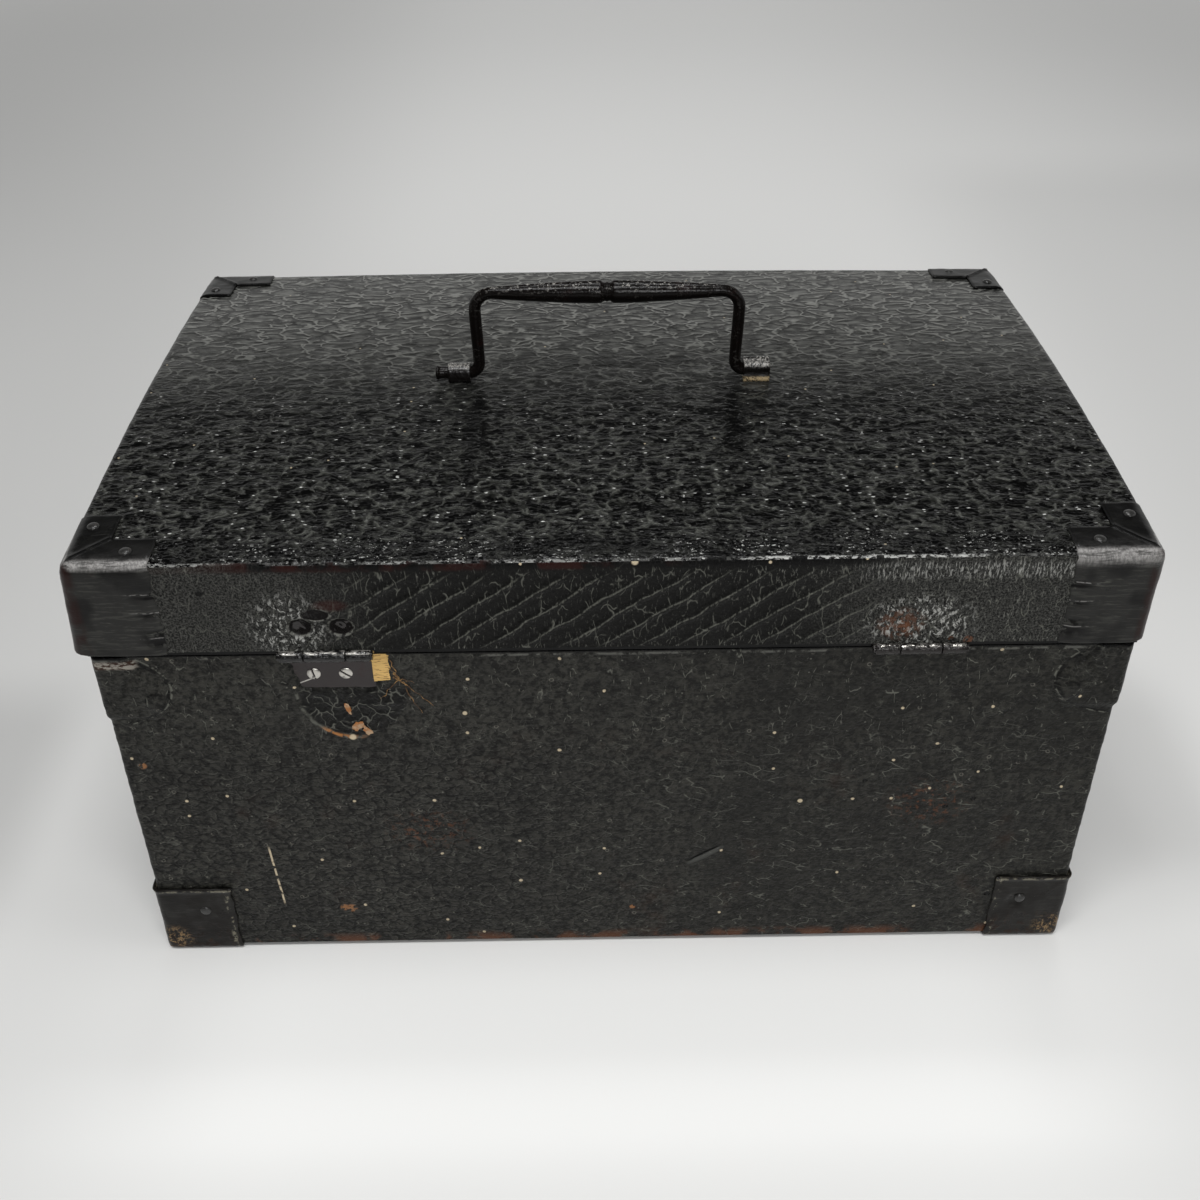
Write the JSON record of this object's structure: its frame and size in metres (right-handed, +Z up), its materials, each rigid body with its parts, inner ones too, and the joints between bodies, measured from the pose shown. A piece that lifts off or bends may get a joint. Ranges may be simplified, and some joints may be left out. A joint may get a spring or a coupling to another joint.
{
  "type": "messenger case",
  "caption": "Black covered wooden messenger case: crowned hinged lid with a folding bail handle, iron corner caps that also serve as feet, and a box lock opposite the hinges.",
  "frame": {"origin": "on the floor, at the middle of the case's footprint", "axes": "+Z up; -Y is the hinge side, which faces the viewer in the picture; +Y is the lock side, which the picture doesn't show; +X runs along the case's length to the viewer's right, and left and right in node names are the viewer's, so left is -X"},
  "size_m": [0.4, 0.2665, 0.2564],
  "materials": {
    "board_wood": "plain sawn softwood, dull",
    "black_covering": "thick black lacquer over leather, crazed and glossy",
    "cap_metal": "black painted sheet iron, worn at the edges",
    "nail_metal": "black iron nail, slightly rusty",
    "hinge_metal": "brown-black painted iron",
    "screw_metal": "bright slotted steel",
    "handle_metal": "forged iron, black, rubbed smooth",
    "lock_metal": "dull steel",
    "spring_metal": "blued spring steel",
    "lining_paper": "aged buff paper"
  },
  "bodies": {
    "case_body": {"body_board_brads": "nail_metal", "body_covering": "black_covering", "body_hinge_screws": "screw_metal", "body_lining": "lining_paper", "bottom_board": "board_wood", "bottom_cap_nails": "nail_metal", "escutcheon_pins": "nail_metal", "hinge_left_bottom_cap": "cap_metal", "hinge_left_top_patch": "black_covering", "hinge_right_bottom_cap": "cap_metal", "hinge_right_top_patch": "black_covering", "hinge_side_board": "board_wood", "keyhole_escutcheon": "cap_metal", "left_end_board": "board_wood", "left_hinge_body_leaf": "hinge_metal", "left_hinge_pin": "hinge_metal", "lock_back_plate": "lock_metal", "lock_bolt_spring": "spring_metal", "lock_case": "lock_metal", "lock_key_pin": "lock_metal", "lock_left_bottom_cap": "cap_metal", "lock_left_top_patch": "black_covering", "lock_right_bottom_cap": "cap_metal", "lock_right_top_patch": "black_covering", "lock_screws": "screw_metal", "lock_side_board": "board_wood", "right_end_board": "board_wood", "right_hinge_body_leaf": "hinge_metal", "right_hinge_pin": "hinge_metal", "top_patch_nails": "nail_metal"},
    "lid": {"hinge_left_lid_cap": "cap_metal", "hinge_right_lid_cap": "cap_metal", "left_handle_staple": "handle_metal", "left_hinge_lid_leaf": "hinge_metal", "lid_board_brads": "nail_metal", "lid_cap_nails": "nail_metal", "lid_covering": "black_covering", "lid_hinge_screws": "screw_metal", "lid_hinge_side_rail": "board_wood", "lid_left_rail": "board_wood", "lid_lining": "lining_paper", "lid_lock_side_rail": "board_wood", "lid_right_rail": "board_wood", "lid_top_board": "board_wood", "lock_left_lid_cap": "cap_metal", "lock_right_lid_cap": "cap_metal", "lock_strike_plate": "lock_metal", "right_handle_staple": "handle_metal", "right_hinge_lid_leaf": "hinge_metal", "strike_screws": "screw_metal"},
    "handle": {"handle_bail": "handle_metal"},
    "lock_bolt": {"lock_bolt": "lock_metal"}
  },
  "joints": [
    {"name": "lid_hinge", "type": "hinge", "parent": "case_body", "child": "lid", "pos_m": [0, -0.1316, 0.16455], "axis": [1, 0, 0], "range_deg": [0, 172]},
    {"name": "handle_pivot", "type": "hinge", "parent": "lid", "child": "handle", "pos_m": [0, 0.002, 0.2152], "axis": [1, 0, 0], "range_deg": [-86, 86]},
    {"name": "lock_bolt_slide", "type": "slide", "parent": "case_body", "child": "lock_bolt", "axis": [1, 0, 0], "range_m": [0, 0.006]}
  ]
}
